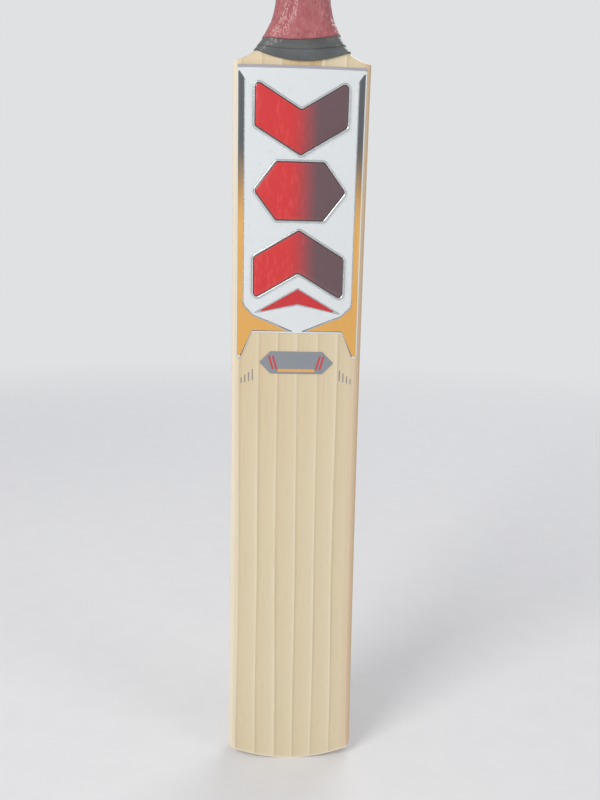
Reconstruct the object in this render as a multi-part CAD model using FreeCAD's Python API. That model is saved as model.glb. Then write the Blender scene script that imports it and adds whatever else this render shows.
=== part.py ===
import FreeCAD, Part
import math
import os

# Cricket bat, built as the real one is: a willow blade with a V slot, a laminated cane handle
# glued into the slot, binding, grip, neck tape and a face sticker with raised blocks.
#
# Working frame, millimetres: z = 0 is the shoulder line, the handle runs up the z axis and the
# blade hangs below it. The face of the blade looks toward -y and x runs across the blade.
# Every finished piece is moved down by HOLD_HEIGHT, so the origin is the middle of the top hand.

# Blade
BLADE_LENGTH = 568.0
BLADE_WIDTH = 105.0
FACE_AT_SHOULDER = 16.0       # face in front of the handle axis at the shoulder line
FACE_SLOPE = 0.044            # the face starts at this slope to the handle axis
BOW = 12.4                    # hollow of the face from shoulder to toe
FACE_CROWN = 2.2              # the face is higher in the middle than at the edges
FACE_ROUND = 5.0              # rolled front edges
BACK_ROUND = 3.5              # rounded back edges
EDGE_SHOULDER = 22.0          # thickness at the side edges: shoulder, middle and toe
EDGE_MIDDLE = 37.0
EDGE_TOE = 21.0
SPINE_SHOULDER = 34.0         # thickness at the spine: shoulder, middle and toe
SPINE_MIDDLE = 61.0
SPINE_TOE = 27.0
SWELL_AT = 0.60               # the thickest place, as a share of the blade length
SPINE_HALF = 9.0              # half width of the rounded ridge
RIDGE_DROP = 1.8
BACK_HOLLOW = 2.6             # hollow of the back beside the spine
TOE_SAG = 8.5                 # the toe is a flat arch in the front view
TOE_CORNER = 7.0

# Neck and handle
HANDLE_LENGTH = 290.0         # butt end above the shoulder line
HOLD_HEIGHT = 215.0           # middle of the top hand above the shoulder line
NECK_HEIGHT = 50.0            # the shoulder curve ends here
EAR_HEIGHT = 38.0             # the willow ears end here
SHOULDER_OVER = 5.8           # the shoulder curve would run out this far past the blade
NECK_RADIUS = 18.3
SHAFT_RADIUS = 16.2
ROUND_FROM = 165.0            # the handle is truly round above this height
NECK_LAP = 0.1                # the taper reaches this far over the top of the neck
BUTT_CHAMFER = 1.8

# Splice and laminations
SPLICE_DEPTH = 125.0
SPLICE_TIP_HALF = 6.5
SPLICE_TOP_HALF = 16.8
RUBBER_STRIP = 2.0
LAYER_PITCH = 8.2             # from one rubber strip to the next
COLUMN_HALF = 5.0             # half width of the middle column of cane

# Binding, grip and tape
TWINE = 0.6
GRIP_WALL = 1.9
LIP = 1.5
LIP_HOLE_RADIUS = 12.0
TAPE_UPPER = 1.7
TAPE_LOWER = 1.2
GRIP_END_FRONT = 20.6         # lower edges at the front of the neck, and how far they rise
GRIP_END_RADIUS = 52.0
TAPE_SEAM_FRONT = 14.0
TAPE_SEAM_RADIUS = 72.0
TAPE_END_FRONT = 0.8
TAPE_END_RADIUS = 62.0

# Face sticker, raised blocks and plaque
GLUE = 0.15                   # glue under each film and block
FILM = 0.2
STICKER_MARGIN = 3.5          # from the sticker to the side of the blade
STICKER_TOP = 4.5             # distances below the shoulder line
STICKER_SIDE_END = 234.0
STICKER_NOTCH = 204.0
STICKER_SLANT = 13.0
FILM_CORNER = 2.5
BLOCK_MARGIN = 17.0           # from the blocks to the side of the blade
BLOCK_HEIGHT = 0.9
RIM_HEIGHT = 1.2
RIM_WIDTH = 1.7
BLOCK_CORNER = 3.0
CHEVRON_TOP = 11.0
CHEVRON_BAND = 33.0
CHEVRON_DROP = 21.0
LOZENGE_MIDDLE = 94.0
LOZENGE_HALF_HEIGHT = 22.0
LOZENGE_SLANT = 17.0
PLAQUE_TOP = 219.0
PLAQUE_HEIGHT = 18.0
PLAQUE_HALF = 30.0

HALF = BLADE_WIDTH / 2.0
NECK_REACH = HALF + SHOULDER_OVER - NECK_RADIUS
STICKER_HALF = HALF - STICKER_MARGIN
BLOCK_HALF = HALF - BLOCK_MARGIN
FAR = 400.0
FRONT_BENDS = 4               # smooth bends that make up each rounded corner of a section
BACK_BENDS = 3


def vec(x, y, z):
    return FreeCAD.Vector(x, y, z)


def prism(points, y0=-FAR, y1=FAR):
    """A front view outline of (x, z) points, run through the bat from y0 to y1."""
    wire = Part.makePolygon([vec(x, y0, z) for x, z in points + points[:1]])
    return Part.Face(wire).extrude(vec(0, y1 - y0, 0))


def slab(z0, z1):
    return Part.makeBox(2 * FAR, 2 * FAR, z1 - z0, vec(-FAR, -FAR, z0))


def swell(t):
    """0 at the shoulder and the toe, 1 at the thickest place."""
    if t < SWELL_AT:
        return 0.5 - 0.5 * math.cos(math.pi * t / SWELL_AT)
    return 0.5 + 0.5 * math.cos(math.pi * (t - SWELL_AT) / (1 - SWELL_AT))


def along(shoulder, middle, toe, t):
    end = shoulder if t < SWELL_AT else toe
    return end + (middle - end) * swell(t)


def face_y(z):
    """The middle line of the face, hollow from shoulder to toe."""
    down = -z
    return -FACE_AT_SHOULDER + FACE_SLOPE * down - 4 * BOW * (down / BLADE_LENGTH) ** 2


def closed_ring(half, z):
    """A closed section of smooth bends, from the points of its right half. These run from the
    middle of the front to the middle of the back as mid, node, mid, node ... node."""
    right = [vec(x, y, z) for x, y in half]
    left = [vec(-x, y, z) for x, y in reversed(half)]
    points = right[1:] + left[1:-1] + right[:2]
    return Part.Wire([bend(points[i:i + 3]) for i in range(0, len(points) - 2, 2)])


def bend(points):
    """A smooth edge through three points."""
    curve = Part.BSplineCurve()
    curve.interpolate(points)
    return curve.toShape()


def corner(centre_x, centre_y, radius, start, bends):
    """Points on a quarter round, from start degrees on, without the first one."""
    steps = [math.radians(start + 45.0 * i / bends) for i in range(1, 2 * bends + 1)]
    return [(centre_x + radius * math.cos(a), centre_y + radius * math.sin(a)) for a in steps]


def blade_ring(z, half, front, crown, round_front, edge, round_back, spine, ridge, hollow):
    """A section of the blade or neck. front, edge and spine are y values."""
    side_front = front + crown
    points = [(0, front), (half - round_front, side_front)]
    points += corner(half - round_front, side_front + round_front, round_front, -90, FRONT_BENDS)
    points.append((half, (side_front + round_front + edge - round_back) / 2))
    points.append((half, edge - round_back))
    points += corner(half - round_back, edge - round_back, round_back, 0, BACK_BENDS)
    drop = RIDGE_DROP * ridge / SPINE_HALF
    foot = (ridge, spine - drop)
    middle = ((half - round_back + ridge) / 2, (edge + foot[1]) / 2 - hollow)
    points += [middle, foot, (ridge / 2, spine - drop / 4), (0, spine)]
    return closed_ring(points, z)


def round_ring(z, radius):
    """A round section with as many bends as a blade section, to loft from one to the other."""
    turns = [0, 26]
    turns += [26 + 24.0 * i / FRONT_BENDS for i in range(1, 2 * FRONT_BENDS + 1)]
    turns += [89, 104]
    turns += [104 + 19.0 * i / BACK_BENDS for i in range(1, 2 * BACK_BENDS + 1)]
    turns += [151, 160, 170, 180]
    angles = [math.radians(turn) for turn in turns]
    return closed_ring([(radius * math.sin(a), -radius * math.cos(a)) for a in angles], z)


def blade_station(t):
    z = -t * BLADE_LENGTH
    front = face_y(z)
    edge = front + FACE_CROWN + along(EDGE_SHOULDER, EDGE_MIDDLE, EDGE_TOE, t)
    spine = front + along(SPINE_SHOULDER, SPINE_MIDDLE, SPINE_TOE, t)
    hollow = BACK_HOLLOW * (0.3 + 0.7 * swell(t))
    return blade_ring(z, HALF, front, FACE_CROWN, FACE_ROUND, edge, BACK_ROUND, spine,
                      SPINE_HALF, hollow)


def neck_station(z, wrap):
    """A section between the shoulder line and the top of the neck. wrap is added all round."""
    rise = z / NECK_HEIGHT
    curve = 1 - math.sqrt(1 - (1 - rise) ** 2)
    half = min(HALF, NECK_RADIUS + NECK_REACH * curve)
    front = -FACE_AT_SHOULDER - (NECK_RADIUS - FACE_AT_SHOULDER) * rise
    spine = front + SPINE_SHOULDER + (2 * NECK_RADIUS - SPINE_SHOULDER) * rise
    share = (half - NECK_RADIUS) / (HALF - NECK_RADIUS)
    edge = spine - 2.0 - (SPINE_SHOULDER - EDGE_SHOULDER - FACE_CROWN - 2.0) * share
    round_front = FACE_ROUND + 7.0 * (1 - share)
    round_back = BACK_ROUND + 7.0 * (1 - share)
    ridge = 4.0 + (SPINE_HALF - 4.0) * share
    hollow = BACK_HOLLOW * 0.3 * share - 0.5 * (1 - share)
    return blade_ring(z, half + wrap, front - wrap, FACE_CROWN, round_front + wrap,
                      edge + wrap, round_back + wrap, spine + wrap, ridge, hollow)


def loft(rings):
    return Part.makeLoft(rings, True, False)


def blade_body():
    shares = [0.0, 0.05, 0.16, 0.3, 0.45, 0.6, 0.75, 0.88, 0.96, 1.02]
    return loft([blade_station(t) for t in shares])


def handle_tube(wrap, top=HANDLE_LENGTH):
    """The straight taper of the handle and the round part above it."""
    radius = SHAFT_RADIUS + wrap
    start = NECK_HEIGHT - NECK_LAP
    taper = Part.makeCone(NECK_RADIUS + wrap, radius, ROUND_FROM - start, vec(0, 0, start))
    return taper.fuse(Part.makeCylinder(radius, top - ROUND_FROM, vec(0, 0, ROUND_FROM)))


def neck_body(wrap, top=HANDLE_LENGTH):
    """Neck and handle as one body. wrap is added all round, for the layers around it."""
    rings = [neck_station(z, wrap) for z in (0.0, 1.5, 5.0, 11.0, 20.0, 33.0)]
    rings.append(round_ring(NECK_HEIGHT, NECK_RADIUS + wrap - NECK_LAP))
    return loft(rings).fuse(handle_tube(wrap, top))


def toe_outline():
    """The front view of the blade, open upwards: straight sides and a flat arched toe."""
    low = -BLADE_LENGTH
    side = low + TOE_SAG
    left = vec(-HALF, -FAR, side)
    right = vec(HALF, -FAR, side)
    arch = Part.Arc(left, vec(0, -FAR, low), right).toShape()
    sides = Part.makePolygon([right, vec(HALF, -FAR, FAR), vec(-HALF, -FAR, FAR), left])
    block = Part.Face(Part.Wire([arch] + sides.Edges)).extrude(vec(0, 2 * FAR, 0))
    corners = [edge for edge in block.Edges if edge.BoundBox.ZMax < side + 1
               and edge.BoundBox.XLength < 1]
    return block.makeFillet(TOE_CORNER, corners)


def splice_wedge():
    """The V of the splice in front view, cut off where the willow ears end."""
    return prism([(-SPLICE_TOP_HALF, EAR_HEIGHT), (SPLICE_TOP_HALF, EAR_HEIGHT),
                  (SPLICE_TIP_HALF, -SPLICE_DEPTH), (-SPLICE_TIP_HALF, -SPLICE_DEPTH)])


def willow(body):
    ears = body.common(slab(-FAR * 2, EAR_HEIGHT))
    return ears.cut(splice_wedge())


def handle_core(body):
    """All that is cane or rubber strip: the wedge in the blade and the handle above it."""
    wedge = body.common(splice_wedge())
    shaft = body.common(slab(EAR_HEIGHT, HANDLE_LENGTH))
    core = wedge.fuse(shaft).removeSplitter()
    return core.common(butt_cone())


def butt_cone():
    """Takes the edge off the butt end."""
    tall = HANDLE_LENGTH + SPLICE_DEPTH
    small = SHAFT_RADIUS - BUTT_CHAMFER
    return Part.makeCone(small + tall, small, tall, vec(0, 0, -SPLICE_DEPTH))


def layer_block(y0, y1, x0, x1):
    return Part.makeBox(x1 - x0, y1 - y0, 2 * FAR, vec(x0, y0, -FAR))


def laminate(core):
    """Cut the handle into four layers of cane, three strips each, with rubber between them."""
    half = RUBBER_STRIP / 2
    seams = [-LAYER_PITCH, 0.0, LAYER_PITCH]
    walls = [-FAR / 4] + seams + [FAR / 4]
    columns = {"left": (-FAR / 4, -COLUMN_HALF), "middle": (-COLUMN_HALF, COLUMN_HALF),
               "right": (COLUMN_HALF, FAR / 4)}
    parts = {}
    for name, seam in zip(("front", "middle", "back"), seams):
        block = layer_block(seam - half, seam + half, -FAR / 4, FAR / 4)
        parts["rubber_strip_" + name] = core.common(block)
    for layer, (y0, y1) in enumerate(zip(walls[:-1], walls[1:]), 1):
        for side, (x0, x1) in columns.items():
            block = layer_block(y0 + half, y1 - half, x0, x1)
            parts["cane_%d_%s" % (layer, side)] = core.common(block)
    return parts


def fill_above(front, radius):
    """The space above an edge that is lowest in front and rises to the sides."""
    arch = Part.makeCylinder(radius, 2 * FAR, vec(0, -FAR, front + radius), vec(0, 1, 0))
    top = prism([(-radius, front + radius), (radius, front + radius),
                 (radius, FAR), (-radius, FAR)])
    return arch.fuse(top)


def neck_tape(wrap, core, lower_edge, upper_edge):
    """One course of tape around the neck, between two arched edges."""
    ring = neck_body(wrap).cut(core)
    return ring.common(fill_above(*lower_edge)).cut(fill_above(*upper_edge))


def neck_layers(core):
    """Everything wound or pulled over the neck and handle."""
    grip_end = (GRIP_END_FRONT, GRIP_END_RADIUS)
    seam = (TAPE_SEAM_FRONT, TAPE_SEAM_RADIUS)
    tape_end = (TAPE_END_FRONT, TAPE_END_RADIUS)
    twine = handle_tube(TWINE).cut(handle_tube(0.0))
    outside = neck_body(TWINE + GRIP_WALL, HANDLE_LENGTH + LIP)
    hole = Part.makeCylinder(LIP_HOLE_RADIUS, 2 * LIP, vec(0, 0, HANDLE_LENGTH))
    grip = outside.cut(core).cut(twine).cut(hole).common(fill_above(*grip_end))
    return {"twine_binding": twine,
            "grip": grip,
            "neck_tape_upper": neck_tape(TAPE_UPPER, core, seam, grip_end),
            "neck_tape_lower": neck_tape(TAPE_LOWER, core, tape_end, seam)}


def rounded_wire(points, radius):
    """A front view outline of (x, z) points with every corner rounded."""
    corners = [vec(x, -FAR, z) for x, z in points]
    arcs = []
    for i, corner in enumerate(corners):
        before = (corners[i - 1] - corner).normalize()
        after = (corners[(i + 1) % len(corners)] - corner).normalize()
        half_angle = before.getAngle(after) / 2
        middle = (before + after).normalize()
        reach = radius / math.tan(half_angle)
        mid = corner + middle * (radius / math.sin(half_angle) - radius)
        arcs.append(Part.Arc(corner + before * reach, mid, corner + after * reach))
    edges = []
    for arc, following in zip(arcs, arcs[1:] + arcs[:1]):
        edges.append(arc.toShape())
        edges.append(Part.LineSegment(arc.EndPoint, following.StartPoint).toShape())
    return Part.Wire(edges)


def film(blade, wire, low, high):
    """A layer on the face: the face moved forward by high, less the face moved by low."""
    upper = blade.translated(vec(0, -high, 0))
    lower = blade.translated(vec(0, -low, 0))
    front = Part.Face(wire).extrude(vec(0, FAR, 0))
    return upper.common(front).cut(lower)


def chevron(top, point):
    """A band of one width that points down (point = -1) or up (point = 1)."""
    tip = point * CHEVRON_DROP
    low = top - CHEVRON_BAND
    return [(-BLOCK_HALF, top), (0, top + tip), (BLOCK_HALF, top),
            (BLOCK_HALF, low), (0, low + tip), (-BLOCK_HALF, low)]


def lozenge(middle, half_width, half_height, slant):
    """A six-sided field with points at the left and right."""
    inner = half_width - slant
    return [(-half_width, middle), (-inner, middle + half_height), (inner, middle + half_height),
            (half_width, middle), (inner, middle - half_height), (-inner, middle - half_height)]


def sticker_outline():
    notch = STICKER_HALF - STICKER_SLANT
    return [(-STICKER_HALF, -STICKER_TOP), (STICKER_HALF, -STICKER_TOP),
            (STICKER_HALF, -STICKER_SIDE_END), (notch, -STICKER_NOTCH),
            (-notch, -STICKER_NOTCH), (-STICKER_HALF, -STICKER_SIDE_END)]


def raised_blocks(blade):
    """Three blocks on the sticker, each with a rim around it."""
    low_chevron = CHEVRON_TOP - 2 * LOZENGE_MIDDLE + CHEVRON_BAND
    outlines = {"upper": chevron(-CHEVRON_TOP, -1),
                "middle": lozenge(-LOZENGE_MIDDLE, BLOCK_HALF, LOZENGE_HALF_HEIGHT, LOZENGE_SLANT),
                "lower": chevron(low_chevron, 1)}
    seat = 2 * GLUE + FILM
    parts = {}
    for name, points in outlines.items():
        inner = rounded_wire(points, BLOCK_CORNER)
        outer = inner.makeOffset2D(RIM_WIDTH)
        parts["block_" + name] = film(blade, inner, seat, seat + BLOCK_HEIGHT)
        ring = film(blade, outer, seat, seat + RIM_HEIGHT)
        hole = Part.Face(inner).extrude(vec(0, FAR, 0))
        parts["rim_" + name] = ring.cut(hole)
    return parts


def face_films(blade):
    sticker = rounded_wire(sticker_outline(), FILM_CORNER)
    plaque_middle = -PLAQUE_TOP - PLAQUE_HEIGHT / 2
    plaque = lozenge(plaque_middle, PLAQUE_HALF, PLAQUE_HEIGHT / 2, PLAQUE_HEIGHT / 2)
    top = GLUE + FILM
    parts = {"face_sticker": film(blade, sticker, GLUE, top),
             "plaque_sticker": film(blade, rounded_wire(plaque, FILM_CORNER / 2), GLUE, top)}
    parts.update(raised_blocks(blade))
    return parts


def build():
    blade = blade_body().common(toe_outline())
    neck = neck_body(0.0)
    body = blade.fuse(neck)
    parts = {"blade": willow(body)}
    parts.update(laminate(handle_core(body)))
    parts.update(neck_layers(neck))
    parts.update(face_films(blade))
    return parts


os.makedirs("parts", exist_ok=True)
for node, shape in build().items():
    shape.translated(vec(0, 0, -HOLD_HEIGHT)).exportStep("parts/" + node + ".step")
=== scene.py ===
import math

import bmesh
import bpy
from mathutils import Matrix, Vector
from mathutils.bvhtree import BVHTree
from mathutils.geometry import tessellate_polygon


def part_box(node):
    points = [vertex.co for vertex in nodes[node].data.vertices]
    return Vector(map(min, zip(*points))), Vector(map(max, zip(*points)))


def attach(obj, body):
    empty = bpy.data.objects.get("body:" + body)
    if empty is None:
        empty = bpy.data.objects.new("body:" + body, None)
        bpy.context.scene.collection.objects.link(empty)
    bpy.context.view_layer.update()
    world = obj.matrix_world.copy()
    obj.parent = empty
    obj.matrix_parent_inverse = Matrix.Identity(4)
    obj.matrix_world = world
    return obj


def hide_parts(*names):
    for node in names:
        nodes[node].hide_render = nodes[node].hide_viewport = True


# Looks of the cricket bat. Metres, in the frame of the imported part: z up the handle, the face
# looks toward -y, and the origin is the middle of the top hand.

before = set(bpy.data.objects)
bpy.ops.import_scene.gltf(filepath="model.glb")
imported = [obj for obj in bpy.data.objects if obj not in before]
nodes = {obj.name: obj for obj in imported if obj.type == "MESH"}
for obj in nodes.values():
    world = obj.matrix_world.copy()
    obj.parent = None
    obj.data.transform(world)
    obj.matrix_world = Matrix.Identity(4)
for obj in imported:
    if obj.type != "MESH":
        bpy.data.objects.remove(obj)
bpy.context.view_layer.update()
MM = 0.001


# Places read from the frame

def corner(name, top, axis):
    """The lowest or highest coordinate of a CAD node, in metres."""
    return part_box(name)[1 if top else 0][axis]


TOE = corner("blade", False, 2)
BUTT = corner("grip", True, 2)
STICKER_TOP = corner("face_sticker", True, 2)
STICKER_HALF = corner("face_sticker", True, 0)
SHOULDER_OVER_STICKER = 4.5 * MM
SHOULDER = STICKER_TOP + SHOULDER_OVER_STICKER
HALF = corner("blade", True, 0)
CORE = [name for name in nodes if name.startswith(("blade", "cane", "rubber"))]


# Camera, at the photograph's angle

CAMERA_PLACE = Vector((-0.02536, -0.62714, -0.35030))
CAMERA_DOWN = math.radians(11.37)
CAMERA_YAW = math.radians(2.72)
CAMERA_ROLL = math.radians(1.30)
CAMERA_LENS = 34.47
CAMERA_SENSOR = 36
CAMERA_NEAR = 0.01


def make_camera():
    """A camera from its place, its tilt down, its turn to the right and its roll."""
    flat = math.cos(CAMERA_DOWN)
    ahead = Vector((math.sin(CAMERA_YAW) * flat, math.cos(CAMERA_YAW) * flat,
                    -math.sin(CAMERA_DOWN)))
    right = Vector((math.cos(CAMERA_YAW), -math.sin(CAMERA_YAW), 0))
    up = right.cross(ahead)
    turn = Matrix.Rotation(CAMERA_ROLL, 3, ahead)
    right = turn.inverted() @ right
    up = turn.inverted() @ up
    camera = bpy.data.objects.new("camera", bpy.data.cameras.new("camera"))
    camera.data.lens = CAMERA_LENS
    camera.data.sensor_width = CAMERA_SENSOR
    camera.data.clip_start = CAMERA_NEAR
    rotation = Matrix((right, up, -ahead)).transposed()
    camera.matrix_world = Matrix.Translation(CAMERA_PLACE) @ rotation.to_4x4()
    bpy.context.collection.objects.link(camera)
    bpy.context.scene.camera = camera


# Materials

TOE_SAG = 8.5 * MM
GROWTH_PITCH = 15.8 * MM
GROWTH_START = 1.4 * MM
GROWTH_DRIFT = 4.0 * MM
GROWTH_UNEVEN = 5.0 * MM
GROWTH_MIDDLE = 4.5 * MM  # half of the two above, which the noise adds on average
WILLOW_PALE = (232, 219, 190)
WILLOW_MID = (219, 203, 170)
WILLOW_STREAK = (226, 209, 172)
WILLOW_WARM = (218, 194, 156)
WILLOW_LINE = (180, 160, 122)
# Rose and tan: painted shade on the right edge of the face, where it turns away from the light
WILLOW_SHADE_ROSE = (216, 187, 156)
WILLOW_SHADE_TAN = (208, 176, 130)
# Painted highlight on the rolled left edge and along the toe
WILLOW_HIGHLIGHT = (242, 231, 210)
CANE_DARK = (206, 180, 138)
CANE_PALE = (222, 200, 160)
CANE_PORE = (150, 116, 76)
RUBBER_DARK = (34, 33, 32)
RUBBER_PALE = (52, 50, 48)
TWINE_PITCH = 0.9 * MM
# Painted shade in the grooves between the turns of thread
TWINE_GROOVE_SHADE = (120, 104, 78)
TWINE_PALE = (196, 182, 150)
GRIP_SCALE = 1 / (2.0 * MM)
GRIP_TOP = (184, 98, 100)
# Painted shade in the hollows between the grip's scales
GRIP_HOLLOW_SHADE = (158, 80, 84)
GRIP_PANEL = (170, 88, 92)
GRIP_PALE_PATCH = (205, 140, 138)
PANEL_HALF = 10.0 * MM
PANEL_RISE = 10.0 * MM
PANEL_MIDDLE = SHOULDER + 30.5 * MM
TAPE_THREADS = 190.0
TAPE_WEFT = 0.7 * MM
FILM_WEAR = (120, 122, 124)
# Pale cream mixed into the gold: painted sheen on the borders, and the worn speckle of the gold
# films
GOLD_SHEEN_AND_WEAR = (250, 236, 205)
BORDER_GREY = (88, 92, 94)
BORDER_GOLD = (228, 172, 88)
FADE_START = 55 * MM
FADE_END = 125 * MM
BLOCK_FACET = 2.6 * MM
BLOCK_LEAN = math.radians(32)
BLOCK_RED = (214, 36, 38)
BLOCK_GLINT = (236, 92, 88)
BLOCK_DARK = (100, 74, 80)
BLOCK_FADE_START = -10 * MM
BLOCK_FADE_END = 16 * MM
SILVER_DARK = (205, 209, 209)
SILVER_PALE = (226, 229, 229)
PAPER_DARK = (228, 228, 229)
PAPER_PALE = (233, 233, 234)
PAPER_FADE = (0.7, 2.4)
BACKGROUND = (224, 225, 227)


class Graph:
    """A material's node tree, with short calls for the nodes this scene needs."""

    def __init__(self, name):
        self.material = bpy.data.materials.new(name)
        self.material.use_nodes = True
        self.tree = self.material.node_tree
        self.shader = self.tree.nodes["Principled BSDF"]
        place = self.node("ShaderNodeTexCoord").outputs["Object"]
        self.place = place
        self.x, self.y, self.z = self.node("ShaderNodeSeparateXYZ", Vector=place).outputs

    def node(self, kind, **inputs):
        made = self.tree.nodes.new(kind)
        for name, value in inputs.items():
            self.set(made.inputs[name.replace("_", " ")], value)
        return made

    def set(self, socket, value):
        if isinstance(value, bpy.types.NodeSocket):
            self.tree.links.new(value, socket)
        else:
            socket.default_value = value

    def math(self, operation, *values):
        made = self.node("ShaderNodeMath")
        made.operation = operation
        for socket, value in zip(made.inputs, values):
            self.set(socket, value)
        return made.outputs[0]

    def spread(self, value, low, high, to_low=0.0, to_high=1.0):
        """Map a range to another, held at its ends, with a soft start and stop."""
        made = self.node("ShaderNodeMapRange", Value=value, From_Min=low, From_Max=high,
                         To_Min=to_low, To_Max=to_high)
        made.interpolation_type = "SMOOTHSTEP"
        return made.outputs[0]

    def stretched(self, sx, sy, sz):
        """The object's own coordinates, scaled per axis."""
        made = self.node("ShaderNodeMapping", Vector=self.place)
        made.inputs["Scale"].default_value = (sx, sy, sz)
        return made.outputs[0]

    def noise(self, vector, scale=1.0, detail=2.0, rough=0.5):
        return self.node("ShaderNodeTexNoise", Vector=vector, Scale=scale, Detail=detail,
                         Roughness=rough).outputs["Fac"]

    def cells(self, vector, scale):
        return self.node("ShaderNodeTexVoronoi", Vector=vector, Scale=scale).outputs

    def mix(self, share, first, second, blend="MIX"):
        made = self.tree.nodes.new("ShaderNodeMix")
        made.data_type = "RGBA"
        made.blend_type = blend
        self.set(made.inputs["Factor"], share)
        for socket, value in ((made.inputs[6], first), (made.inputs[7], second)):
            self.set(socket, value if isinstance(value, bpy.types.NodeSocket) else paint(value))
        return made.outputs[2]

    def bump(self, height, strength, distance):
        made = self.node("ShaderNodeBump", Height=height, Strength=strength, Distance=distance)
        return made.outputs[0]

    def finish(self, **inputs):
        for name, value in inputs.items():
            self.set(self.shader.inputs[name.replace("_", " ")], value)
        return self.material


def paint(rgb):
    """A shader colour from red, green and blue as seen on a screen, 0 to 255."""
    linear = [(c / 255 / 12.92 if c / 255 <= 0.04045 else ((c / 255 + 0.055) / 1.055) ** 2.4)
              for c in rgb]
    return (*linear, 1.0)


def willow_material():
    """Pale willow: straight growth lines up the face, each with a light band before it, fine
    fibre, faint warm patches, a painted highlight on the rolled edge on the left and along the
    toe, and painted rosy shade along the right edge, where the face turns away from the light."""
    g = Graph("willow")
    drift = g.noise(g.stretched(14, 14, 1.1), detail=1.5)
    uneven = g.noise(g.stretched(55, 55, 0.1), detail=0.0)
    across = g.math("ADD", g.x, g.math("MULTIPLY", drift, GROWTH_DRIFT))
    across = g.math("ADD", across, g.math("MULTIPLY", uneven, GROWTH_UNEVEN))
    across = g.math("SUBTRACT", across, GROWTH_START + GROWTH_MIDDLE)
    ring = g.math("FRACT", g.math("DIVIDE", across, GROWTH_PITCH))
    strength = g.spread(g.noise(g.stretched(30, 30, 2.5), detail=2.0), 0.3, 0.7, 0.15, 0.5)
    line = g.math("MULTIPLY", g.spread(ring, 0.0, 0.2, 1.0, 0.0), strength)
    pale = g.math("ADD", g.spread(ring, 0.1, 1.0, 0.0, 0.45), g.spread(ring, 0.8, 0.98, 0.0, 0.5))
    fibre = g.noise(g.stretched(900, 900, 9), detail=3.0, rough=0.65)
    streaks = g.noise(g.stretched(230, 230, 2.2), detail=2.0)
    patches = g.noise(g.stretched(9, 9, 3.5), detail=3.0)
    colour = g.mix(pale, WILLOW_MID, WILLOW_PALE)
    colour = g.mix(g.spread(streaks, 0.5, 0.75, 0.0, 0.5), colour, WILLOW_STREAK)
    colour = g.mix(g.spread(patches, 0.42, 0.72, 0.0, 0.5), colour, WILLOW_WARM)
    colour = g.mix(line, colour, WILLOW_LINE)
    colour = g.mix(g.spread(fibre, 0.5, 0.8, 0.0, 0.2), colour, WILLOW_LINE)
    # painted shade: rose, then tan, along the right edge of the face
    colour = g.mix(g.spread(g.x, 41 * MM, 48 * MM, 0.0, 0.6), colour, WILLOW_SHADE_ROSE)
    colour = g.mix(g.spread(g.x, 49 * MM, 52 * MM, 0.0, 0.6), colour, WILLOW_SHADE_TAN)
    # painted highlight: a pale strip along the rolled left edge
    colour = g.mix(g.spread(g.x, -51 * MM, -46 * MM, 0.75, 0.0), colour, WILLOW_HIGHLIGHT)
    # painted highlight: a pale line just above the toe's lower edge
    rise = g.math("MULTIPLY", g.math("POWER", g.math("DIVIDE", g.x, HALF), 2.0), TOE_SAG)
    over_toe = g.math("SUBTRACT", g.z, g.math("ADD", rise, TOE))
    colour = g.mix(g.spread(over_toe, 0.4 * MM, 1.6 * MM, 0.8, 0.0), colour, WILLOW_HIGHLIGHT)
    return g.finish(Base_Color=colour, Roughness=g.spread(fibre, 0.2, 0.8, 0.36, 0.52),
                    Normal=g.bump(fibre, 0.12, 0.2 * MM), Coat_Weight=0.12,
                    Coat_Roughness=0.3)


def cane_material():
    """Cane: honey brown with fine dark pores along the handle."""
    g = Graph("cane")
    fibre = g.noise(g.stretched(1400, 1400, 14), detail=3.0)
    tone = g.noise(g.stretched(60, 60, 2), detail=1.0)
    colour = g.mix(g.spread(tone, 0.3, 0.7), CANE_DARK, CANE_PALE)
    colour = g.mix(g.spread(fibre, 0.52, 0.7, 0.0, 0.45), colour, CANE_PORE)
    return g.finish(Base_Color=colour, Roughness=g.spread(fibre, 0.2, 0.8, 0.4, 0.6),
                    Normal=g.bump(fibre, 0.2, 0.2 * MM), Coat_Weight=0.1)


def strip_rubber_material():
    """Matt dark rubber with a fine grain."""
    g = Graph("strip_rubber")
    grain = g.noise(g.place, scale=1500.0)
    colour = g.mix(grain, RUBBER_DARK, RUBBER_PALE)
    return g.finish(Base_Color=colour, Roughness=g.spread(grain, 0.3, 0.7, 0.65, 0.8),
                    Normal=g.bump(grain, 0.3, 0.1 * MM))


def twine_material():
    """Waxed thread, wound in a close helix, with painted shade in the grooves between the turns.
    """
    g = Graph("twine")
    turns = g.math("FRACT", g.math("DIVIDE", g.z, TWINE_PITCH))
    roll = g.math("SINE", g.math("MULTIPLY", turns, math.pi))
    fluff = g.noise(g.place, scale=900.0)
    # painted shade: darker where the thread rolls into the groove between turns
    colour = g.mix(roll, TWINE_GROOVE_SHADE, TWINE_PALE)
    return g.finish(Base_Color=colour, Roughness=g.spread(fluff, 0.2, 0.8, 0.6, 0.85),
                    Normal=g.bump(roll, 0.8, 0.4 * MM))


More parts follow.
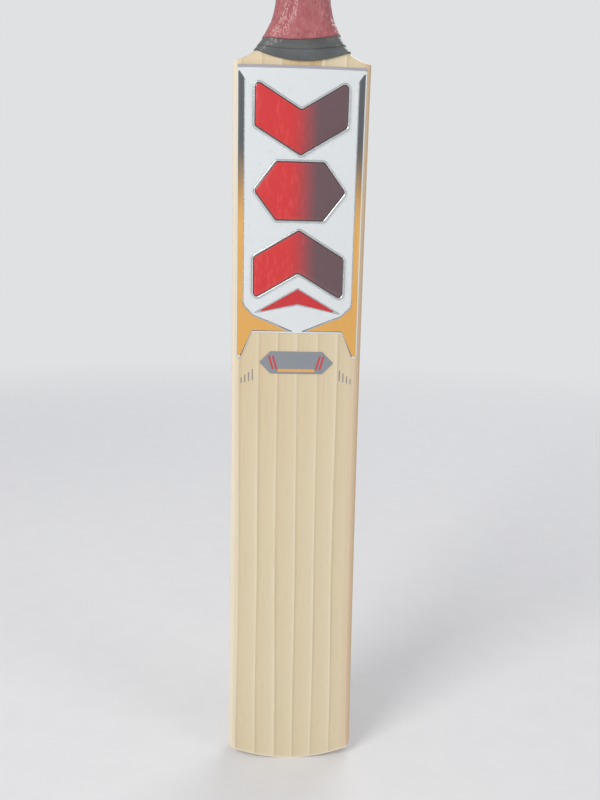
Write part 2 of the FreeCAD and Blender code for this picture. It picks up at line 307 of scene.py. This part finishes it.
def grip_material():
    """Dusty red rubber covered in small scales, with painted shade in the hollows between them,
    paler patches at random and one plain panel low on the front.
    """
    g = Graph("grip_rubber")
    scales = g.cells(g.stretched(1.0, 1.0, 0.75), GRIP_SCALE)
    height = g.spread(scales["Distance"], 0.15, 0.75, 1.0, 0.0)
    around = g.math("ABSOLUTE", g.x)
    over = g.math("SUBTRACT", g.z, PANEL_MIDDLE)
    reach = g.math("ADD", g.math("POWER", g.math("DIVIDE", around, PANEL_HALF), 4.0),
                   g.math("POWER", g.math("DIVIDE", over, PANEL_RISE), 4.0))
    front = g.math("LESS_THAN", g.y, 0.0)
    panel = g.math("MULTIPLY", g.spread(reach, 0.9, 1.1, 1.0, 0.0), front)
    textured = g.math("SUBTRACT", 1.0, panel)
    height = g.math("MULTIPLY", height, textured)
    pale_patches = g.noise(g.place, scale=120.0, detail=4.0)
    # painted shade: the colour follows the scales' height, darker in the hollows
    colour = g.mix(height, GRIP_HOLLOW_SHADE, GRIP_TOP)
    colour = g.mix(panel, colour, GRIP_PANEL)
    # paler pink patches at random over the grip
    colour = g.mix(g.spread(pale_patches, 0.45, 0.75, 0.0, 0.35), colour, GRIP_PALE_PATCH)
    crinkle = g.noise(g.stretched(130, 130, 70), detail=3.0, rough=0.6)
    return g.finish(Base_Color=colour, Roughness=g.spread(pale_patches, 0.2, 0.8, 0.5, 0.7),
                    Normal=g.bump(height, 0.45, 0.4 * MM), Coat_Weight=0.6,
                    Coat_Roughness=0.08, Coat_Normal=g.bump(crinkle, 0.8, 4.0 * MM))


def tape_material(name, light, dark):
    """Cloth tape: a fine plain weave with a few creases, and painted shade in the creases and
    between the threads.
    """
    g = Graph(name)
    around = g.math("ARCTAN2", g.x, g.math("MULTIPLY", g.y, -1.0))
    warp = g.math("SINE", g.math("MULTIPLY", around, TAPE_THREADS))
    weft = g.math("SINE", g.math("MULTIPLY", g.z, 2 * math.pi / TAPE_WEFT))
    weave = g.math("MULTIPLY", warp, weft)
    creases = g.noise(g.stretched(45, 45, 120), detail=3.0)
    # painted shade: the tone follows the weave and crease relief of the bump, darker where it is
    # lower
    tone = g.math("ADD", g.math("MULTIPLY", weave, 0.12), creases)
    colour = g.mix(g.spread(tone, 0.3, 0.75), dark, light)
    height = g.math("ADD", g.math("MULTIPLY", weave, 0.05), creases)
    crinkle = g.noise(g.stretched(110, 110, 90), detail=3.0, rough=0.6)
    return g.finish(Base_Color=colour, Roughness=g.spread(creases, 0.3, 0.7, 0.45, 0.65),
                    Normal=g.bump(height, 0.35, 1.2 * MM), Coat_Weight=0.5,
                    Coat_Roughness=0.1, Coat_Normal=g.bump(crinkle, 0.6, 3.0 * MM))


def film_material(name, colour, wear=FILM_WEAR):
    """Printed glossy film, faintly worn. Its unevenness shows in the gloss."""
    g = Graph(name)
    wave = g.noise(g.stretched(22, 22, 9), detail=2.0)
    worn = g.noise(g.stretched(400, 400, 160), detail=3.0)
    tint = g.mix(g.spread(worn, 0.55, 0.8, 0.0, 0.08), colour, wear)
    return g.finish(Base_Color=tint, Roughness=g.spread(worn, 0.3, 0.8, 0.30, 0.42),
                    Coat_Weight=0.8, Coat_Roughness=0.06,
                    Coat_Normal=g.bump(wave, 0.25, 3.0 * MM))


def fading_material():
    """The side borders: dark grey at the shoulder, turning to gold down the blade, with a speckle
    of painted sheen.
    """
    g = Graph("border_fade")
    down = g.math("SUBTRACT", SHOULDER, g.z)
    share = g.spread(down, FADE_START, FADE_END)
    sheen = g.noise(g.stretched(260, 260, 20), detail=2.0)
    colour = g.mix(share, BORDER_GREY, BORDER_GOLD)
    # painted sheen: pale cream speckle over the gold
    colour = g.mix(g.spread(sheen, 0.4, 0.8, 0.0, 0.12), colour, GOLD_SHEEN_AND_WEAR)
    return g.finish(Base_Color=colour, Roughness=g.spread(sheen, 0.2, 0.8, 0.25, 0.4),
                    Coat_Weight=0.8, Coat_Roughness=0.06)


def block_material():
    """Domed resin over a foil of small facets: bright red on the left, dull dark on the right."""
    g = Graph("block_resin")
    share = g.spread(g.x, BLOCK_FADE_START, BLOCK_FADE_END)
    leaning = g.node("ShaderNodeMapping", Vector=g.place)
    leaning.inputs["Rotation"].default_value = (0, BLOCK_LEAN, 0)
    leaning.inputs["Scale"].default_value = (1.0, 0.0, 0.34)
    facets = g.cells(leaning.outputs[0], 1 / BLOCK_FACET)
    streaks = g.noise(leaning.outputs[0], scale=110.0, detail=1.0)
    glint = g.spread(facets["Distance"], 0.15, 0.7, 0.35, 0.0)
    glint = g.math("MULTIPLY", glint, g.spread(streaks, 0.35, 0.65))
    lively = g.math("MULTIPLY", glint, g.math("SUBTRACT", 1.0, share))
    colour = g.mix(share, BLOCK_RED, BLOCK_DARK)
    colour = g.mix(lively, colour, BLOCK_GLINT)
    return g.finish(Base_Color=colour, Roughness=g.spread(glint, 0.0, 0.5, 0.45, 0.3),
                    Normal=g.bump(facets["Distance"], 0.06, 0.3 * MM), Coat_Weight=1.0,
                    Coat_Roughness=0.05)


def silver_material():
    """Bright foil of the rims and outlines."""
    g = Graph("silver_foil")
    worn = g.noise(g.place, scale=260.0, detail=3.0)
    colour = g.mix(worn, SILVER_DARK, SILVER_PALE)
    return g.finish(Base_Color=colour, Metallic=0.8,
                    Roughness=g.spread(worn, 0.3, 0.7, 0.2, 0.3))


def ink_material(name, colour):
    """Matt printed ink on bare wood, a little broken by the grain."""
    g = Graph(name)
    grain = g.noise(g.stretched(900, 900, 40), detail=2.0)
    tint = g.mix(g.spread(grain, 0.5, 0.85, 0.0, 0.35), colour, WILLOW_MID)
    return g.finish(Base_Color=tint, Roughness=g.spread(grain, 0.2, 0.8, 0.4, 0.6))


# Pieces that follow the face of the blade

SHARP = math.radians(50)
DECAL_GRID = 8 * MM
SMALLEST_BEND = 0.05 * MM
RAY_NUDGES = (0.0, 0.01 * MM, -0.01 * MM, 0.05 * MM, -0.05 * MM)


def tree_of(names):
    """A search tree over the surfaces of some CAD nodes."""
    vertices, faces = [], []
    for name in names:
        mesh = nodes[name].data
        start = len(vertices)
        vertices += [tuple(v.co) for v in mesh.vertices]
        faces += [[start + i for i in face.vertices] for face in mesh.polygons]
    return BVHTree.FromPolygons(vertices, faces)


def surface_of(*names):
    """A lookup of the front surface of some CAD nodes: (x, z) to y. A ray that slips through
    the joint of two facets is cast again a hair beside it."""
    tree = tree_of(names)

    def front(x, z):
        for aside in RAY_NUDGES:
            hit = tree.ray_cast(Vector((x + aside, -1.0, z + 0.7 * aside)), Vector((0, 1, 0)))[0]
            if hit:
                return hit.y
        raise ValueError("nothing in front at %.4f, %.4f" % (x, z))
    return front


def rounded(points, radius, inset=0.0, steps=5):
    """A front view outline with every corner rounded, drawn in by inset. Anticlockwise. radius
    is one value, or one for each corner."""
    out = []
    count = len(points)
    radii = radius if isinstance(radius, list) else [radius] * count
    for i in range(count):
        here = Vector(points[i])
        before = (Vector(points[i - 1]) - here).normalized()
        after = (Vector(points[(i + 1) % count]) - here).normalized()
        outer = before.cross(after) < 0
        half = before.angle(after) / 2
        middle = (before + after).normalized()
        bend = max(radii[i] + (-inset if outer else inset), SMALLEST_BEND)
        tip = here + middle * (inset if outer else -inset) / math.sin(half)
        centre = tip + middle * bend / math.sin(half)
        first = tip + before * bend / math.tan(half) - centre
        last = tip + after * bend / math.tan(half) - centre
        for s in range(steps + 1):
            out.append(centre + first.slerp(last, s / steps).normalized() * bend)
    return out


def ring_mesh(name, rings, tops, materials, front, lift, closed=True):
    """A skin from rings of outline points. tops are heights of the rings over the surface, and
    materials the slot of each band and, last, of the closed middle."""
    mesh = bmesh.new()
    loops = []
    for ring, top in zip(rings, tops):
        loops.append([mesh.verts.new((x, front(x, z) - lift - top, z)) for x, z in ring])
    count = len(loops[0])
    for band, (low, high) in enumerate(zip(loops, loops[1:])):
        for i in range(count):
            j = (i + 1) % count
            face = mesh.faces.new((low[i], low[j], high[j], high[i]))
            face.material_index = materials[band]
    if closed:
        flat = [Vector((v.co.x, v.co.z, 0)) for v in loops[-1]]
        for triangle in tessellate_polygon([flat]):
            face = mesh.faces.new([loops[-1][i] for i in triangle])
            face.material_index = materials[-1]
    bmesh.ops.recalc_face_normals(mesh, faces=mesh.faces)
    return smooth_piece(mesh, name)


def smooth_piece(mesh, name):
    """Turn a finished bmesh into an object of the scene, smooth but for its sharp edges."""
    for face in mesh.faces:
        face.smooth = True
    for edge in mesh.edges:
        edge.smooth = not edge.is_manifold or edge.calc_face_angle() < SHARP
    return plain_piece(mesh, name)


def plain_piece(mesh, name):
    """Turn a finished bmesh into an object of the scene."""
    data = bpy.data.meshes.new(name)
    mesh.to_mesh(data)
    mesh.free()
    piece = bpy.data.objects.new(name, data)
    bpy.context.collection.objects.link(piece)
    return piece


def decal(name, points, material, front, lift=0.08 * MM, radius=0.6 * MM):
    """A thin printed shape on the face, cut into a fine grid so that it follows the curve."""
    outline = rounded(points, radius, steps=3)
    mesh = bmesh.new()
    face = mesh.faces.new([mesh.verts.new((p.x, 0, p.y)) for p in outline])
    bmesh.ops.triangulate(mesh, faces=[face])
    cut_grid(mesh, DECAL_GRID)
    for vertex in mesh.verts:
        vertex.co.y = front(vertex.co.x, vertex.co.z) - lift
    bmesh.ops.recalc_face_normals(mesh, faces=mesh.faces)
    piece = plain_piece(mesh, name)
    piece.data.materials.append(material)
    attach(piece, "root")


def cut_grid(mesh, step):
    """Cut a flat mesh along a square grid in x and z."""
    for axis in (0, 2):
        low = min(v.co[axis] for v in mesh.verts)
        high = max(v.co[axis] for v in mesh.verts)
        place = math.floor(low / step) * step + step
        while place < high:
            normal = [0, 0, 0]
            normal[axis] = 1
            point = [0, 0, 0]
            point[axis] = place
            everything = mesh.verts[:] + mesh.edges[:] + mesh.faces[:]
            bmesh.ops.bisect_plane(mesh, geom=everything, plane_co=point, plane_no=normal)
            place += step


def both_sides(name, points, material, front, **how):
    """A decal on the right and its mirror image on the left."""
    decal(name + "_right", points, material, front, **how)
    if isinstance(how.get("radius"), list):
        how["radius"] = how["radius"][::-1]
    decal(name + "_left", [(-x, z) for x, z in reversed(points)], material, front, **how)


def below(distance):
    """A height in the frame, from a distance below the shoulder line."""
    return SHOULDER - distance


# Layers around the neck

NECK_STEPS = 120
NECK_ROWS = 10
NECK_ASPECT = 1.5  # width over depth, so that the steps are of like length
NECK_TRIES = 14
FOLD_OUT = 0.1 * MM
FOLD = 0.35 * MM
FOLD_END = 0.05 * MM
FOLD_SHARE = 0.2

# Edges around the neck: height over the shoulder line at the front, radius, tilt
TAPE_EDGE = (0.4 * MM, 88 * MM)
SEAM_EDGE = (8.3 * MM, 170 * MM, 0.03)
UNDER_UPPER_TAPE = (12 * MM, 140 * MM)
GRIP_EDGE = (15.1 * MM, 140 * MM, 0.06)
UNDER_GRIP = (19 * MM, 100 * MM)
OVER_GRIP_END = (22.5 * MM, 52 * MM)
TAPE_LOWER_OUT = 1.3 * MM
TAPE_UPPER_OUT = 1.9 * MM
GRIP_HEM_OUT = 2.7 * MM
GRIP_HEM_TOP = 2.42 * MM
# Tape tones: the darker one is painted shade in the creases and between the threads
TAPE_LOWER_LIGHT = (104, 108, 109)
TAPE_LOWER_SHADED = (76, 80, 81)
TAPE_UPPER_LIGHT = (104, 106, 105)
TAPE_UPPER_SHADED = (74, 77, 76)


def arch(front, radius, tilt=0.0):
    """An edge around the neck, seen from the front: lowest in the middle, rising to the sides."""
    return lambda x: SHOULDER + front + radius - math.sqrt(radius * radius - x * x) + tilt * x


def neck_layer(name, low, high, thickness, material, thin_top=None):
    """A layer around the bare neck between two arched edges, with a folded lower edge."""
    core = tree_of(CORE)
    grid = [[neck_point(core, low, high, row / NECK_ROWS, step) for step in range(NECK_STEPS)]
            for row in range(NECK_ROWS + 1)]
    profile = [(0, FOLD_OUT), (0, thickness - FOLD), (FOLD_SHARE, thickness - FOLD_END)]
    profile += [(row, thickness) for row in range(1, NECK_ROWS)]
    profile.append((NECK_ROWS, thickness if thin_top is None else thin_top))
    mesh = bmesh.new()
    rings = []
    for row, out in profile:
        ring = []
        for step in range(NECK_STEPS):
            point, normal = neck_normal(grid, row, step)
            ring.append(mesh.verts.new(point + normal * out))
        rings.append(ring)
    for lower, upper in zip(rings, rings[1:]):
        for i in range(NECK_STEPS):
            j = (i + 1) % NECK_STEPS
            mesh.faces.new((lower[i], lower[j], upper[j], upper[i]))
    piece = smooth_piece(mesh, name)
    piece.data.materials.append(material)
    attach(piece, "root")
    return piece


def neck_point(core, low, high, share, step):
    """Where the bare neck meets the edge that lies share of the way from low to high."""
    turn = 2 * math.pi * step / NECK_STEPS
    angle = math.atan2(NECK_ASPECT * math.sin(turn), math.cos(turn))
    out = Vector((math.sin(angle), -math.cos(angle), 0))
    z = low(0) * (1 - share) + high(0) * share
    for _ in range(NECK_TRIES):
        hit = core.ray_cast(Vector((0, 0, z)) + out * 0.3, -out)[0]
        goal = low(hit.x) * (1 - share) + high(hit.x) * share
        z += 0.5 * (goal - z)
    return hit


def neck_normal(grid, row, step):
    """A point of the grid, also between rows, and the smooth direction away from the neck."""
    under = int(row)
    over = min(under + 1, NECK_ROWS)
    share = row - under
    point = grid[under][step].lerp(grid[over][step], share)
    along = grid[min(under + 1, NECK_ROWS)][step] - grid[max(under - 1, 0)][step]
    across = grid[under][(step + 1) % NECK_STEPS] - grid[under][step - 1]
    return point, across.cross(along).normalized()


def dress_neck():
    """Two courses of tape and the lower end of the grip, at the heights the photograph shows."""
    cloth = tape_material("tape_lower", TAPE_LOWER_LIGHT, TAPE_LOWER_SHADED)
    lower = neck_layer("tape_lower_course", arch(*TAPE_EDGE), arch(*UNDER_UPPER_TAPE),
                       TAPE_LOWER_OUT, cloth)
    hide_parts("neck_tape_lower")
    cloth = tape_material("tape_upper", TAPE_UPPER_LIGHT, TAPE_UPPER_SHADED)
    upper = neck_layer("tape_upper_course", arch(*SEAM_EDGE), arch(*UNDER_GRIP),
                       TAPE_UPPER_OUT, cloth)
    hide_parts("neck_tape_upper")
    neck_layer("grip_hem", arch(*GRIP_EDGE), arch(*OVER_GRIP_END), GRIP_HEM_OUT,
               nodes["grip"].data.materials[0], thin_top=GRIP_HEM_TOP)


# Materials of the CAD nodes

FILM_WHITE = (226, 231, 233)
FILM_GREY = (140, 146, 152)


def dress_nodes():
    """Materials of the CAD nodes that stay in view."""
    willow = willow_material()
    cane = cane_material()
    rubber = strip_rubber_material()
    for name, node in nodes.items():
        if name == "blade":
            cover(node, willow)
        elif name.startswith("cane"):
            cover(node, cane)
        elif name.startswith("rubber"):
            cover(node, rubber)
    cover(nodes["twine_binding"], twine_material())
    cover(nodes["grip"], grip_material())
    cover(nodes["face_sticker"], film_material("film_white", FILM_WHITE))
    cover(nodes["plaque_sticker"], film_material("film_grey", FILM_GREY))


def cover(thing, material):
    """Give a CAD node its one material."""
    thing.data.materials.clear()
    thing.data.materials.append(material)


# Blocks and prints on the face

BLOCK_CORNER = 3.0 * MM
BLOCK_HALF = corner("block_upper", True, 0)
BAND = 33 * MM
DROP = 21 * MM
HEXAGON_SLANT = 17 * MM
GLUE_LIFT = 0.1 * MM
# Insets from the block's outline and heights over the sticker, in mm, from the foot up
DOME_INSETS = (0.0, 0.0, 0.7, 1.4, 2.4, 3.8, 5.8, 8.5)
DOME_TOPS = (0.0, 0.75, 0.95, 1.12, 1.25, 1.36, 1.43, 1.46)
DOME_SLOTS = (0, 0, 1, 1, 1, 1, 1, 1)
RIM_INSETS = (-1.9, -1.75, -1.1, -0.75, -0.15, 0.1)
RIM_TOPS = (0.0, 0.35, 1.15, 1.2, 0.75, 0.0)

FILM_RED = (206, 44, 48)
FILM_LILAC = (172, 170, 177)
LINE_RED = (206, 60, 62)
INK_GREY = (140, 140, 138)
BORDER_OUTER = STICKER_HALF - 0.9 * MM
BORDER_INNER = BORDER_OUTER - 4.4 * MM
BORDER_LINE = BORDER_INNER - 0.7 * MM
BORDER_START = below(6 * MM)
BORDER_CUT = 6 * MM
BORDER_TURN = below(178 * MM)
NOTCH = below(203.2 * MM)
EDGE = 1.2 * MM
CORNER_BENDS = [1.2 * MM, 1.2 * MM, 1.2 * MM, 0.2 * MM, 1.6 * MM, 1.6 * MM, 1.2 * MM, 0.4 * MM]
WING_HIGH = below(168 * MM)
WING_LOW = below(182 * MM)
WING_TIP = (37 * MM, below(189.5 * MM))
WING_TAPER = 5 * MM


def raised_block(name, points, front):
    """A domed block in place of the plain CAD one: a dark line at its edge, then the dome."""
    rings = [rounded(points, BLOCK_CORNER, inset * MM) for inset in DOME_INSETS]
    tops = [top * MM for top in DOME_TOPS]
    piece = ring_mesh("dome_" + name, rings, tops, DOME_SLOTS, front, GLUE_LIFT)
    piece.data.materials.append(DARK_LINE)
    piece.data.materials.append(RESIN)
    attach(piece, "root")
    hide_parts("block_" + name)
    raised_rim(name, points, front)


def raised_rim(name, points, front):
    """A bevelled silver rim around a block."""
    rings = [rounded(points, BLOCK_CORNER, inset * MM) for inset in RIM_INSETS]
    tops = [top * MM for top in RIM_TOPS]
    piece = ring_mesh("bevel_" + name, rings, tops, [0] * len(rings), front, GLUE_LIFT,
                      closed=False)
    piece.data.materials.append(SILVER)
    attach(piece, "root")
    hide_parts("rim_" + name)


def chevron(top, point):
    """The outline of a chevron block, anticlockwise. point is -1 down or 1 up."""
    tip = point * DROP
    low = top - BAND
    return [(-BLOCK_HALF, top), (-BLOCK_HALF, low), (0, low + tip), (BLOCK_HALF, low),
            (BLOCK_HALF, top), (0, top + tip)]


def lozenge(name, slant):
    """The outline of a six-sided block, anticlockwise."""
    low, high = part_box(name)
    middle = (low[2] + high[2]) / 2
    inner = BLOCK_HALF - slant
    return [(-BLOCK_HALF, middle), (-inner, low[2]), (inner, low[2]),
            (BLOCK_HALF, middle), (inner, high[2]), (-inner, high[2])]


def dress_face():
    """Blocks, rims and prints of the stickers, laid on the surface under them."""
    sticker = surface_of("face_sticker", *CORE)
    plaque = surface_of("plaque_sticker")
    top = corner("block_upper", True, 2)
    raised_block("upper", chevron(top, -1), sticker)
    raised_block("middle", lozenge("block_middle", HEXAGON_SLANT), sticker)
    low_top = corner("block_lower", True, 2) - DROP
    raised_block("lower", chevron(low_top, 1), sticker)
    print_borders(sticker)
    print_corners(sticker)
    print_wing(sticker)
    print_plaque(plaque)
    lay_top_line(surface_of(*CORE))


def print_borders(front):
    """Side borders that fade from grey to gold, each with a silver line on its inner edge."""
    fade = fading_material()
    top = BORDER_START - BORDER_CUT
    foot = BORDER_TURN - 6 * MM
    both_sides("border", [(BORDER_INNER, top), (BORDER_INNER, foot), (BORDER_OUTER, foot),
                          (BORDER_OUTER, BORDER_START)], fade, front)
    both_sides("border_line", [(BORDER_LINE, top - 0.5 * MM), (BORDER_LINE, BORDER_TURN),
                               (BORDER_INNER, BORDER_TURN), (BORDER_INNER, top)], SILVER, front,
               radius=0.2 * MM)


def print_corners(front):
    """Gold corners below the borders, over a silver layer and a dark one that show as lines."""
    gold = film_material("film_gold", BORDER_GOLD, GOLD_SHEEN_AND_WEAR)
    outer, line, turn = BORDER_OUTER, BORDER_LINE, BORDER_TURN
    slope = [(line, turn - 4 * MM), (line - 8 * MM, turn - 12 * MM), (22 * MM, turn - 17 * MM)]
    dark = slope + [(3 * MM, NOTCH + 0.4 * MM), (36.1 * MM, NOTCH + 0.3 * MM),
                    (outer, below(231.0 * MM)), (outer, turn), (line, turn)]
    both_sides("corner_dark", dark, DARK_EDGE, front, lift=0.05 * MM, radius=CORNER_BENDS)
    silver = [(x, z - 0.25 * EDGE) for x, z in slope]
    silver += [(5 * MM, NOTCH + 0.6 * MM), (35.9 * MM, NOTCH + 0.9 * MM),
               (outer, below(228.5 * MM)), (outer, turn), (line, turn)]
    both_sides("corner_silver", silver, SILVER, front, lift=0.09 * MM, radius=CORNER_BENDS)
    bright = [(x + 0.3 * EDGE, z - EDGE) for x, z in slope]
    bright += [(8 * MM, NOTCH + 0.9 * MM), (36.2 * MM, NOTCH + 0.9 * MM),
               (outer, below(228.9 * MM)), (outer, turn), (line + EDGE, turn)]
    both_sides("corner_gold", bright, gold, front, lift=0.13 * MM, radius=CORNER_BENDS)


def print_wing(front):
    """A red wing with a silver edge, under the lowest block."""
    red = film_material("film_red", FILM_RED)
    x, z = WING_TIP
    decal("wing_silver", [(0, WING_HIGH), (-x, z), (0, WING_LOW), (x, z)], SILVER, front,
          lift=0.05 * MM)
    inner, rise = x - WING_TAPER, z + 1.6 * MM
    decal("wing_red", [(0, WING_HIGH - EDGE), (-inner, rise), (0, WING_LOW + EDGE),
                       (inner, rise)], red, front, lift=0.1 * MM)


def lay_top_line(front):
    """The lilac grey line along the top of the sticker."""
    lilac = film_material("film_lilac", FILM_LILAC)
    half = STICKER_HALF - 0.2 * MM
    low, high = below(4.9 * MM), below(2.9 * MM)
    decal("top_line", [(-half, low), (half, low), (half, high), (-half, high)], lilac, front,
          lift=0.45 * MM, radius=0.5 * MM)


def print_plaque(front):
    """A gold line along the plaque, two red slashes and grey ticks on the wood beside it."""
    gold = film_material("film_gold_line", BORDER_GOLD, GOLD_SHEEN_AND_WEAR)
    red = film_material("film_red_line", LINE_RED)
    base = corner("plaque_sticker", False, 2) + 1.4 * MM
    half, top = 15 * MM, base + 2.4 * MM
    decal("plaque_line", [(-half, base), (half, base), (half, top), (-half, top)], gold, front)
    for i, x in enumerate((17.5 * MM, 20.5 * MM)):
        low, high = base + 2 * MM, base + 13 * MM
        slash = [(x - 2.4 * MM, low), (x - 0.9 * MM, low), (x + 2.4 * MM, high),
                 (x + 0.9 * MM, high)]
        both_sides("slash_%d" % i, slash, red, front, radius=0.2 * MM)
    wood = surface_of("blade")
    ink = ink_material("ink_grey", INK_GREY)
    for i in range(4):
        x = (35 + 3.0 * i) * MM
        rise = (9 - 1.6 * i) * MM
        foot = below((243 + 0.8 * i) * MM)
        tick = [(x, foot), (x + 0.9 * MM, foot), (x + 0.9 * MM, foot + rise), (x, foot + rise)]
        both_sides("tick_%d" % i, tick, ink, wood, radius=0.1 * MM)


# Floor and light

FLOOR_SIDES = 96
FLOOR_REACHES = (0.4, 1.2, 3.0, 14.0)
WARM = (1.0, 0.98, 0.95)
ROSY = (1.0, 0.95, 0.92)
WHITE = (1.0, 1.0, 1.0)
# Name, place, size, power and colour of each lamp
LAMPS = (("key", (-1.4, -1.4, 0.9), (1.0, 1.4), 30.0, WARM),
         ("fill", (1.7, -1.2, 0.1), (0.8, 1.6), 8.5, ROSY),
         ("back", (0.6, 1.6, 1.2), (1.2, 1.2), 14.0, WHITE))
SKY = (0.93, 0.95, 1.0, 1.0)
SKY_STRENGTH = 0.5


def make_floor():
    """A wide disc of pale paper under the toe."""
    mesh = bmesh.new()
    turns = [2 * math.pi * step / FLOOR_SIDES for step in range(FLOOR_SIDES)]
    rims = [[mesh.verts.new((reach * math.cos(a), reach * math.sin(a), TOE)) for a in turns]
            for reach in FLOOR_REACHES]
    mesh.faces.new(rims[0])
    for near, far in zip(rims, rims[1:]):
        for i in range(FLOOR_SIDES):
            j = (i + 1) % FLOOR_SIDES
            mesh.faces.new((near[i], far[i], far[j], near[j]))
    floor = smooth_piece(mesh, "floor")
    floor.data.materials.append(paper_material())


def paper_material():
    """Matt paper. For the camera it fades with distance into the tone of the background."""
    g = Graph("floor_paper")
    grain = g.noise(g.place, scale=40.0)
    g.finish(Base_Color=g.mix(grain, PAPER_DARK, PAPER_PALE), Roughness=0.9)
    glow = g.node("ShaderNodeEmission", Color=paint(BACKGROUND), Strength=1.0)
    flat = g.math("ADD", g.math("POWER", g.x, 2.0), g.math("POWER", g.y, 2.0))
    far = g.spread(g.math("SQRT", flat), *PAPER_FADE)
    seen = g.node("ShaderNodeLightPath").outputs["Is Camera Ray"]
    blend = g.node("ShaderNodeMixShader")
    g.set(blend.inputs[0], g.math("MULTIPLY", far, seen))
    g.set(blend.inputs[1], g.shader.outputs[0])
    g.set(blend.inputs[2], glow.outputs[0])
    g.set(g.tree.nodes["Material Output"].inputs["Surface"], blend.outputs[0])
    return g.material


def lamp(name, place, aim, size, power, colour):
    """A rectangular soft lamp, turned to what it lights."""
    light = bpy.data.lights.new(name, "AREA")
    light.shape = "RECTANGLE"
    light.size, light.size_y = size
    light.energy = power
    light.color = colour
    thing = bpy.data.objects.new(name, light)
    thing.location = place
    thing.rotation_euler = (Vector(aim) - Vector(place)).to_track_quat("-Z", "Y").to_euler()
    bpy.context.collection.objects.link(thing)


def make_light():
    """Three soft lamps and a pale sky. The camera sees the plain tone of the background."""
    middle = (0, 0, (TOE + BUTT) / 2)
    for name, place, size, power, colour in LAMPS:
        lamp(name, place, middle, size, power, colour)
    world = bpy.data.worlds.new("studio")
    world.use_nodes = True
    tree = world.node_tree
    soft = tree.nodes["Background"]
    soft.inputs["Color"].default_value = SKY
    soft.inputs["Strength"].default_value = SKY_STRENGTH
    plain = tree.nodes.new("ShaderNodeBackground")
    plain.inputs["Color"].default_value = paint(BACKGROUND)
    blend = tree.nodes.new("ShaderNodeMixShader")
    rays = tree.nodes.new("ShaderNodeLightPath")
    tree.links.new(rays.outputs["Is Camera Ray"], blend.inputs[0])
    tree.links.new(soft.outputs[0], blend.inputs[1])
    tree.links.new(plain.outputs[0], blend.inputs[2])
    tree.links.new(blend.outputs[0], tree.nodes["World Output"].inputs["Surface"])
    bpy.context.scene.world = world


# Materials that several pieces share

SILVER = silver_material()
RESIN = block_material()
DARK_LINE = film_material("dark_line", (70, 44, 48))
DARK_EDGE = film_material("dark_edge", (84, 74, 66))


# The scene itself

bpy.context.scene.view_settings.view_transform = "Standard"
make_camera()
dress_nodes()
dress_neck()
dress_face()
make_floor()
make_light()
